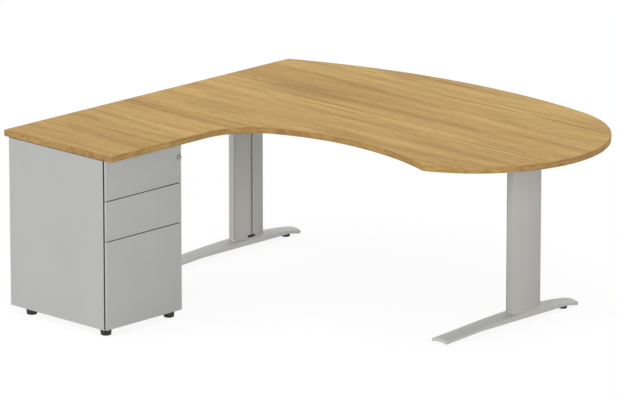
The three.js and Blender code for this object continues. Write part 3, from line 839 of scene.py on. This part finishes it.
def worktop():
    board = prism("board", worktop_outline(band_thickness), underside, desk_height)
    finished(board, "desk", "laminate", "worktop_board")
    board.data.materials.append(looks["backing"])
    for face in board.data.polygons:
        face.material_index = 1 if face.normal.z < facing_down else 0
    arris = []
    for angle in angles_to(quarter_turn, arris_steps):
        arris.append((band_arris * (1 - math.sin(angle)), band_arris * (1 - math.cos(angle))))
    section = [
        (band_thickness, underside),
        *[(inset, underside + rise) for inset, rise in arris],
        *[(inset, desk_height - rise) for inset, rise in reversed(arris)],
        (band_thickness, desk_height),
    ]
    rings = [raised(worktop_outline(inset), level, "z") for inset, level in section]
    band = rings_mesh("edge_band", rings, capped=False)
    lay_grain(band, worktop_outline(0))
    finished(band, "desk", "edging", "worktop_edge_band")


def lay_grain(obj, outline):
    """UV along the band's length and up its height, in metres."""
    reach = [0]
    for a, b in zip(outline, outline[1:] + outline[:1]):
        reach.append(reach[-1] + math.dist(a, b))
    count = len(outline)
    layer = obj.data.uv_layers.new(name="grain")
    for face in obj.data.polygons:
        columns = [index % count for index in face.vertices]
        wraps = max(columns) - min(columns) > 1
        for loop, index in zip(face.loop_indices, face.vertices):
            column = index % count
            if wraps and column == 0:
                column = count
            level = obj.data.vertices[index].co.z
            layer.data[loop].uv = (reach[column] * millimetre, level)


# Legs

foot_back_y = -leg_setback
foot_front_y = foot_back_y - foot_length
column_y = foot_back_y - column_setback
glide_rows = {"front": foot_front_y + glide_inset, "back": foot_back_y - glide_inset}
glide_stud_top = glide_height + glide_stud_length
leg_x = {"corner": foot_width / 2, "end": foot_width / 2 + leg_spacing}
leg_facing = {"corner": 1, "end": -1}


def placed(end, outline):
    """An outline from a column's middle, its first axis towards the other leg, put in place."""
    return [(leg_x[end] + leg_facing[end] * u, column_y + y) for u, y in outline]


def arch(share):
    """0 at both ends of a width and 1 in its middle."""
    return 4 * share * (1 - share)


def foot_shape(y):
    """Edge, crown and underside of a foot: a blade, high at the column and thin at its ends."""
    to_front = max((y - foot_front_y) / (column_y - foot_front_y), 0)
    to_back = max((foot_back_y - y) / column_setback, 0)
    if y < column_y:
        end_edge = foot_front_edge
        rise = (to_front ** 2 * (3 - 2 * to_front)) ** foot_front_fullness
    else:
        end_edge = foot_back_edge
        rise = (1 - (1 - to_back) ** 2) ** foot_back_fullness
    run = min((y - foot_front_y) / foot_front_run_out, (foot_back_y - y) / foot_back_run_out, 1)
    edge = end_edge + (foot_peak_edge - end_edge) * rise
    crown = foot_end_crown + (foot_peak_crown - foot_end_crown) * rise
    under = foot_end_underside + (foot_underside - foot_end_underside) * run
    return edge, crown, under


def rounding(radius, distance):
    """How far a rounded edge draws in at a distance from its end."""
    if distance >= radius:
        return 0
    return radius - math.sqrt(max(radius ** 2 - (radius - distance) ** 2, 0))


def foot_section(x, y):
    """Outline across a foot: hollow below, crowned above, with rounded top edges."""
    edge, crown, under = foot_shape(y)
    from_end = min(y - foot_front_y, foot_back_y - y)
    half = foot_width / 2 - rounding(foot_corner_radius, from_end)
    drop = rounding(foot_edge_radius, from_end)
    radius = foot_edge_radius

    def top(offset):
        return edge - drop + crown * arch((offset + half) / (2 * half))

    shoulder = top(half - radius)
    corner = []
    for angle in angles_to(quarter_turn, bend_steps):
        offset = half - radius * (1 - math.cos(angle))
        corner.append((offset, shoulder - radius * (1 - math.sin(angle))))
    outline = []
    for step in range(hollow_steps + 1):
        share = step / hollow_steps
        outline.append((x - half + 2 * half * share, under + foot_hollow * arch(share)))
    outline += [(x + offset, level) for offset, level in corner]
    for step in range(1, crown_steps):
        offset = (half - radius) * (1 - 2 * step / crown_steps)
        outline.append((x + offset, top(offset)))
    outline += [(x - offset, level) for offset, level in reversed(corner)]
    return outline


def foot_loft(name, x):
    margin = foot_corner_radius
    inner = foot_length - 2 * margin
    ends = [margin * (step / foot_end_stations) ** 2 for step in range(foot_end_stations)]
    middle = [margin + inner * step / foot_stations for step in range(foot_stations + 1)]
    levels = ends + middle + [foot_length - level for level in reversed(ends)]
    rows = [foot_front_y + level for level in levels]
    return rings_mesh(name, [raised(foot_section(x, y), y, "y") for y in rows])


def pocket_loft(x, start, stop):
    """The pocket under a foot between two places along it."""
    half = foot_width / 2 - foot_wall
    rings = []
    for station in range(crown_steps + 1):
        y = start + (stop - start) * station / crown_steps
        edge, crown = foot_shape(y)[:2]
        outline = [(x - half, 0), (x + half, 0)]
        for step in range(crown_steps + 1):
            share = step / crown_steps
            level = edge - foot_wall + crown * arch(share)
            outline.append((x + half - 2 * half * share, level))
        rings.append(raised(outline, y, "y"))
    return rings_mesh("pocket", rings)


def foot(end):
    """Cast foot with its saddle, its bosses for the glides, its pockets and its bores."""
    x = leg_x[end]
    half = column_width / 2
    facet = column_facet / 2 + saddle_margin
    depth = column_depth / 2 + saddle_margin
    rib = slot_width / 2 + slot_rib
    edge = half + saddle_margin
    seat = [(facet, -edge), (depth, -rib), (depth, rib), (facet, edge), *column_arc(saddle_margin)]
    saddle = prism("saddle", placed(end, seat), foot_underside, saddle_height)
    bevelled(saddle, saddle_edge)
    blade = foot_loft(f"{end}_leg_cast_foot", x)
    boss_top = foot_front_edge + foot_end_crown / 2
    boss = [(boss_radius, glide_height), (boss_radius, boss_top)]
    bore_radius = glide_stud_radius + glide_hole_clearance
    bore = [(bore_radius, 0), (bore_radius, glide_stud_top + fit_gap)]
    rows = glide_rows.values()
    bosses = [turned("boss", boss, (x, y)) for y in rows]
    bores = [turned("bore", bore, (x, y)) for y in rows]
    front = glide_rows["front"] + foot_pocket_margin
    back = glide_rows["back"] - foot_pocket_margin
    reach = half + foot_pocket_margin
    pockets = [pocket_loft(x, front, column_y - reach), pocket_loft(x, column_y + reach, back)]
    combined(blade, "UNION", saddle, *bosses)
    combined(blade, "DIFFERENCE", *pockets, *bores)
    # Painted light: the feet take a lighter, glossier copy of the leg paint.
    finished(blade, "desk", "leg_paint", f"{end}_leg_foot", look="foot_paint")


def glides(end):
    sole_edge = glide_edge * sole_edge_share
    for where, y in glide_rows.items():
        glide = turned(f"{end}_leg_{where}_glide_disc", [
            (glide_radius - glide_edge, 0),
            (glide_radius - sole_edge, sole_edge),
            (glide_radius, glide_edge),
            (glide_radius, glide_height - glide_edge / 2),
            (glide_radius - glide_edge / 2, glide_height),
            (glide_stud_radius, glide_height),
            (glide_stud_radius, glide_stud_top),
        ], (leg_x[end], y))
        finished(glide, f"{end}_{where}_glide", "black_steel", f"{end}_leg_{where}_glide")


def column(end):
    """Cover, inner panels, black strips between them that paint the shade of the joints, cable bush
    and arm.
    """
    half = column_width / 2
    facet = column_facet / 2
    lip = half - cover_lip
    shell = [(facet, lip), (facet, half), *column_arc(), (facet, -half), (facet, -lip)]
    folded = sheet(shell, cover_wall, cover_bend)
    cover_top = underside - arm_depth - cover_top_clearance
    cover = prism(f"{end}_leg_cover", placed(end, folded), saddle_height, cover_top)
    finished(cover, "desk", "leg_paint", f"{end}_leg_outer_cover")
    for where in ("back", "front"):
        softened(f"{end}_leg_inner_{where}_panel", "desk", "leg_paint")
    # Painted shade: a thin black strip in each joint between the cover and an inner panel.
    for where, side in (("back", 1), ("front", -1)):
        middle = (facet + cover_shade_strip_radius, side * (half - cover_shade_strip_setback))
        angles = angles_to(full_turn, bend_steps)[:-1]
        ring = [on_circle(middle, cover_shade_strip_radius, angle) for angle in angles]
        name = f"{end}_leg_{where}_cover_shade_strip"
        shade_strip = prism(name, placed(end, ring), saddle_height, cover_top)
        finished(shade_strip, "desk", "black_plastic")
    softened(f"{end}_leg_cable_bush", "desk", "black_plastic")
    softened(f"{end}_leg_arm", "desk", "frame_paint")


# Pedestal

outer_y = -return_length
inner_y = outer_y + pedestal_width
rear_x = pedestal_setback
face_x = rear_x + carcass_depth
front_x = face_x + front_depth
lock_y = inner_y - lock_inset
lock_z = underside - lock_drop
lock_notch = (lock_z - lock_notch_half, lock_z + lock_notch_half)


def carcass_sheet(inset=0):
    """The wrap's folded sheet from above, drawn in from both of its faces by an inset."""
    path = [
        (face_x - front_lip, inner_y - front_flange + inset),
        (face_x - inset, inner_y - front_flange + inset),
        (face_x - inset, inner_y - inset),
        (rear_x + inset, inner_y - inset),
        (rear_x + inset, outer_y + inset),
        (face_x - inset, outer_y + inset),
        (face_x - inset, outer_y + front_flange - inset),
        (face_x - front_lip, outer_y + front_flange - inset),
    ]
    return sheet(path, carcass_wall - 2 * inset, bend_radius)


def carcass():
    """The wrap with its notch for the lock, a black strip above it that paints the shadow under the
    board, and the levelling feet.
    """
    top = underside - carcass_top_gap
    wrap = prism("carcass_wrap", carcass_sheet(), floor_clearance, top)
    notch_x = (face_x - front_lip - overrun, face_x + overrun)
    notch_y = (inner_y - front_flange - overrun, inner_y - bend_radius)
    combined(wrap, "DIFFERENCE", block("notch", notch_x, notch_y, lock_notch))
    finished(wrap, "desk", "carcass_paint", "pedestal_wrap")
    # Painted shadow: a black strip fills the gap between the wrap and the board.
    shade_strip = prism("carcass_top_shade_strip", carcass_sheet(carcass_shade_strip_recess), top, underside)
    finished(shade_strip, "desk", "black_plastic")
    columns = {"rear": rear_x + rear_foot_setback, "front": face_x - front_foot_setback}
    rows = {"outer": outer_y + pedestal_foot_inset, "inner": inner_y - pedestal_foot_inset}
    sole_edge = pedestal_foot_edge * sole_edge_share
    profile = [
        (pedestal_foot_sole - pedestal_foot_edge, 0),
        (pedestal_foot_sole - sole_edge, sole_edge),
        (pedestal_foot_sole, pedestal_foot_edge),
        (pedestal_foot_radius, floor_clearance - pedestal_foot_rim_drop),
        (pedestal_foot_radius - pedestal_foot_rim_width, floor_clearance),
        (pedestal_stud_radius, floor_clearance),
        (pedestal_stud_radius, floor_clearance + pedestal_stud_length),
    ]
    for depth, x in columns.items():
        for side, y in rows.items():
            place = f"{depth}_{side}"
            piece = turned(f"pedestal_{place}_levelling_foot", profile, (x, y))
            finished(piece, f"{place}_foot", "black_plastic", f"pedestal_{place}_foot")


def drawers():
    for drawer in drawer_names:
        softened(f"{drawer}_front", drawer, "carcass_paint")
        softened(f"{drawer}_tray", drawer, "drawer_paint", tray_edge)


def gap_shade_strips():
    """Black strips drawn as rubber seals in the gaps round the drawer fronts: they paint the shade
    in the gaps.
    """
    # Painted shade: a black strip along the top of each lower front darkens the gap above it.
    for drawer in ("middle_drawer", "file_drawer"):
        x, y, z = span_of(f"{drawer}_front")
        section = bead(x[1] - shade_strip_setback - shade_strip_depth / 2, shade_strip_depth / 2, z[1], shade_strip_height)
        reach = (y[0] + shade_strip_margin, y[1] - shade_strip_stop)
        finished(prism(f"{drawer}_top_shade_strip", section, *reach, "y"), drawer, "black_plastic")
    low = span_of("file_drawer_front")[2][0]
    high = span_of("top_drawer_front")[2][1]
    half = front_flange / 2 - shade_strip_margin
    outer = outer_y + front_flange / 2
    inner = inner_y - front_flange / 2
    # Painted shade: black strips at the carcass's front flanges darken the gaps beside the fronts.
    for name, y, reach in (
        ("carcass_outer_shade_strip", outer, (low, high)),
        ("carcass_inner_lower_shade_strip", inner, (low, lock_notch[0])),
        ("carcass_inner_upper_shade_strip", inner, (lock_notch[1], high)),
    ):
        section = [(b, a) for a, b in bead(y, half, face_x, shade_strip_thickness)]
        finished(prism(name, section, *reach), "desk", "black_plastic")


def lock():
    """Barrel with a stepped, rounded nose, and the plug with its keyway."""
    bore = plug_radius + fit_gap
    back = front_x - lock_back
    rose = front_x + lock_rose
    nose = front_x + lock_nose
    profile = [(bore, back), (lock_radius, back), (lock_radius, front_x)]
    steps = ((lock_rose_radius, front_x, rose), (lock_nose_radius, rose, nose))
    for radius, start, stop in steps:
        profile.append((radius, start))
        for angle in angles_to(quarter_turn, bend_steps):
            drawn = radius - lock_rose_edge * (1 - math.cos(angle))
            profile.append((drawn, stop - lock_rose_edge * (1 - math.sin(angle))))
    profile += [(bore + fit_gap, nose), (bore, nose - fit_gap)]
    centre = (lock_y, lock_z)
    barrel = turned("lock_cylinder", profile, centre, "x", capped=False)
    finished(barrel, "top_drawer", "lock_metal", "lock_barrel")
    face = nose + plug_nose
    plug = turned("lock_key_plug", [
        (plug_radius, back - plug_tail),
        (plug_radius, face - fit_gap),
        (plug_radius - fit_gap, face),
    ], centre, "x")
    keyway = block(
        "keyway",
        (face - keyway_depth, face + overrun),
        (lock_y - keyway_width / 2, lock_y + keyway_width / 2),
        (lock_z - keyway_height / 2, lock_z + keyway_height / 2),
    )
    combined(plug, "DIFFERENCE", keyway)
    finished(plug, "lock_turning_parts", "lock_metal", "lock_plug")


def fittings():
    """Parts that show inside or underneath, as their solids with the edges eased."""
    for name in ("corner_leg_post", "end_leg_post", "beam_bracket_1", "beam_bracket_2"):
        softened(name, "desk", "frame_paint")
    for name in ("pedestal_base", "pedestal_top"):
        softened(name, "desk", "carcass_paint", sheet_edge)
    plated_parts = {"lock_cam": "lock_turning_parts", "lock_bar": "lock_lift_bar"}
    for side in ("outer", "inner"):
        for depth in ("rear", "front"):
            plated_parts[f"pedestal_{depth}_{side}_upright"] = "desk"
        for drawer in drawer_names:
            plated_parts[f"{drawer}_{side}_fixed_rail"] = "desk"
            plated_parts[f"{drawer}_{side}_drawer_rail"] = drawer
        plated_parts[f"file_drawer_{side}_middle_rail"] = "file_middle_rails"
    for name, body in plated_parts.items():
        softened(name, body, "zinc", sheet_edge)


def filing_rails():
    """Joggled steel rails for hanging files, inside the top of the file drawer's sides."""
    x, y, z = span_of("file_drawer_tray")
    reach = (x[0] + filing_rail_end_gap, x[1] - filing_rail_end_gap)
    low = z[1] - filing_rail_drop
    shoulder = z[1] + filing_rail_shoulder
    top = z[1] + filing_rail_rise
    for side, wall, inward in walls_of(y, y, tray_wall):
        lip = wall + inward * filing_rail_step
        path = [(wall, low), (wall, shoulder), (lip, shoulder), (lip, top)]
        outline = sheet(path, -inward * filing_rail_wall, filing_rail_bend)
        rail = prism(f"{side}_filing_rail", outline, *reach, "x")
        finished(rail, "file_drawer", "zinc")


# Heads of screws, bolts and rivets, drawn at the origin and facing up

def pan_head():
    """Head of a wood or sheet-metal screw with its cross recess."""
    head = turned("pan_head", dome(screw_radius, screw_height), (0, 0), steps=head_steps)
    z = (screw_height - recess_depth, screw_height + overrun)
    across = (-recess_width / 2, recess_width / 2)
    along = (-recess_length / 2, recess_length / 2)
    cross = [block("recess", across, along, z), block("recess", along, across, z)]
    return combined(head, "DIFFERENCE", *cross)


def bolt_head():
    """Hexagon head on its washer."""
    washer = turned("washer", [(washer_radius, 0), (washer_radius, washer_height)], (0, 0))
    top = washer_height + bolt_height
    profile = [
        (bolt_radius, washer_height / 2),
        (bolt_radius, top - bolt_chamfer_height),
        (bolt_radius - bolt_chamfer_width, top),
    ]
    return combined(washer, "UNION", turned("hexagon", profile, (0, 0), steps=hexagon_steps))


def rivet_head():
    return turned("rivet_head", dome(rivet_radius, rivet_height), (0, 0), steps=head_steps)


def fastened(name, body, pattern, places, toward):
    finished(repeated(name, pattern, places, toward), body, "zinc")


def bracket_fasteners(screw, bolt):
    for number in (1, 2):
        x, y, z = span_of(f"beam_bracket_{number}")
        middle = middle_of(x)
        columns = [middle - bracket_bolt_half_pitch, middle + bracket_bolt_half_pitch]
        low = z[1] - bracket_leg * bracket_bolt_share
        near = y[1] - bracket_leg * bracket_screw_share
        bolts = [(column, y[1] - bracket_wall, low) for column in columns]
        screws = [(column, near, z[1] - bracket_wall) for column in columns]
        fastened(f"bracket_{number}_bolts", "desk", bolt, bolts, (0, -1, 0))
        fastened(f"bracket_{number}_screws", "desk", screw, screws, (0, 0, -1))


def tray_fasteners(screw, rivet):
    for drawer in drawer_names:
        x, y, z = span_of(f"{drawer}_tray")
        rows = [middle_of(y) - tray_screw_reach, middle_of(y) + tray_screw_reach]
        levels = shares_of(z, tray_screw_shares)
        screws = [(x[1] - tray_wall, row, level) for level in levels for row in rows]
        fastened(f"{drawer}_front_screws", drawer, screw, screws, (-1, 0, 0))
        level = middle_of(span_of(f"{drawer}_outer_drawer_rail")[2])
        columns = shares_of(x, tray_rivet_shares)
        for side, wall, inward in walls_of(y, y, tray_wall):
            rivets = [(column, wall, level) for column in columns]
            fastened(f"{drawer}_{side}_rivets", drawer, rivet, rivets, (0, inward, 0))


def rail_rivets(rivet):
    for drawer in ("top_drawer", "middle_drawer"):
        x, outer, z = span_of(f"{drawer}_outer_fixed_rail")
        inner = span_of(f"{drawer}_inner_fixed_rail")[1]
        columns = shares_of(x, rail_rivet_shares)
        level = middle_of(z)
        for side, wall, inward in walls_of(outer, inner, rail_wall):
            rivets = [(column, wall, level) for column in columns]
            fastened(f"{drawer}_{side}_rail_rivets", "desk", rivet, rivets, (0, inward, 0))


def beam_bolts(bolt):
    x, y, z = span_of("main_beam")
    rows = [y[0] + beam_plate_margin / 2, y[1] - beam_plate_margin / 2]
    level = middle_of(z)
    for end, face, toward in (("corner", x[0] + beam_plate, 1), ("end", x[1] - beam_plate, -1)):
        places = [(face, row, level) for row in rows]
        fastened(f"beam_{end}_bolts", "desk", bolt, places, (toward, 0, 0))


def leg_fasteners(kind, pattern, reaches, level):
    for end, x in leg_x.items():
        places = [(x, column_y + reach, level) for reach in reaches]
        fastened(f"{end}_{kind}", "desk", pattern, places, (0, 0, -1))


def fasteners():
    screw = pan_head()
    bolt = bolt_head()
    rivet = rivet_head()
    leg_fasteners("arm_screws", screw, arm_screw_reaches, underside - arm_wall)
    bracket_fasteners(screw, bolt)
    tray_fasteners(screw, rivet)
    rail_rivets(rivet)
    beam_bolts(bolt)
    leg_fasteners("foot_bolts", bolt, (-foot_bolt_reach, foot_bolt_reach), foot_underside)
    dropped(screw, bolt, rivet)


worktop()
for end in leg_x:
    foot(end)
    glides(end)
    column(end)
softened("main_beam", "desk", "frame_paint")
carcass()
drawers()
gap_shade_strips()
lock()
fittings()
filing_rails()
fasteners()


# Camera, floor and light

camera_place = (16.8994, -17.7231, 7.1205)
camera_tilt = math.radians(74.761)
camera_heading = math.radians(43.912)
camera_lens = 376.8
camera_sensor = 36
camera_reach = 400
floor_reach = 120
floor_colour = 0.8
floor_shadow_share = 0.12
floor_glow = 0.9
world_level = 0.32
# Each soft light's level, the spread of its disc and the way it comes from, as a heading from -Y
# towards +X and a height over the floor, in degrees
lights = {
    "key": (0.61, 50, 60, 11),
    "side": (0.385, 40, -30, 15),
    "top": (0.29, 60, 0, 80),
    "back": (0.19, 50, 185, 40),
}


def camera():
    data = bpy.data.cameras.new("camera")
    data.lens = camera_lens
    data.sensor_width = camera_sensor
    data.clip_end = camera_reach
    obj = linked("camera", data)
    obj.location = camera_place
    obj.rotation_euler = (camera_tilt, 0, camera_heading)
    scene.camera = obj


def emptied(owner):
    """An owner's node tree with nothing in it."""
    owner.use_nodes = True
    owner.node_tree.nodes.clear()
    return owner.node_tree


def grey(level):
    return (level, level, level, 1)


def chosen(tree, output, unseen, seen):
    """Shows one shader to rays from the camera, a gloss or a glass, and another to the rest."""
    rays = tree.nodes.new("ShaderNodeLightPath").outputs
    direct = rays["Is Camera Ray"]
    for ray in ("Is Glossy Ray", "Is Transmission Ray"):
        either = {0: direct, 1: rays[ray]}
        direct = node(tree, "ShaderNodeMath", either, operation="MAXIMUM").outputs[0]
    shaders = {0: direct, 1: unseen.outputs[0], 2: seen.outputs[0]}
    node(tree, output, {"Surface": node(tree, "ShaderNodeMixShader", shaders).outputs[0]})


def floor():
    """White where it is seen, apart from the desk's faint shadow, and grey to the desk itself."""
    mesh = bpy.data.meshes.new("floor")
    r = floor_reach
    mesh.from_pydata([(-r, -r, 0), (r, -r, 0), (r, r, 0), (-r, r, 0)], [], [(0, 1, 2, 3)])
    material = bpy.data.materials.new("floor")
    tree = emptied(material)
    plain = node(tree, "ShaderNodeBsdfDiffuse", {"Color": grey(floor_colour)})
    faint = node(tree, "ShaderNodeBsdfDiffuse", {"Color": grey(floor_shadow_share)})
    glow = node(tree, "ShaderNodeEmission", {"Strength": floor_glow})
    white = node(tree, "ShaderNodeAddShader", {0: faint.outputs[0], 1: glow.outputs[0]})
    chosen(tree, "ShaderNodeOutputMaterial", plain, white)
    mesh.materials.append(material)
    linked("floor", mesh)


def world():
    made = bpy.data.worlds.new("studio")
    scene.world = made
    tree = emptied(made)
    light = node(tree, "ShaderNodeBackground", {"Strength": world_level})
    white = node(tree, "ShaderNodeBackground", {"Color": grey(1)})
    chosen(tree, "ShaderNodeOutputWorld", light, white)


def soft_light(name, level, spread, heading, height):
    data = bpy.data.lights.new(name, "SUN")
    data.energy = level * math.pi
    data.angle = math.radians(spread)
    around = math.radians(heading)
    up = math.radians(height)
    toward = Vector((
        math.sin(around) * math.cos(up),
        -math.cos(around) * math.cos(up),
        math.sin(up),
    ))
    obj = linked(name, data)
    obj.rotation_mode = "QUATERNION"
    obj.rotation_quaternion = toward.to_track_quat("Z", "Y")


camera()
floor()
world()
for name, settings in lights.items():
    soft_light(name, *settings)
scene.view_settings.view_transform = "Standard"
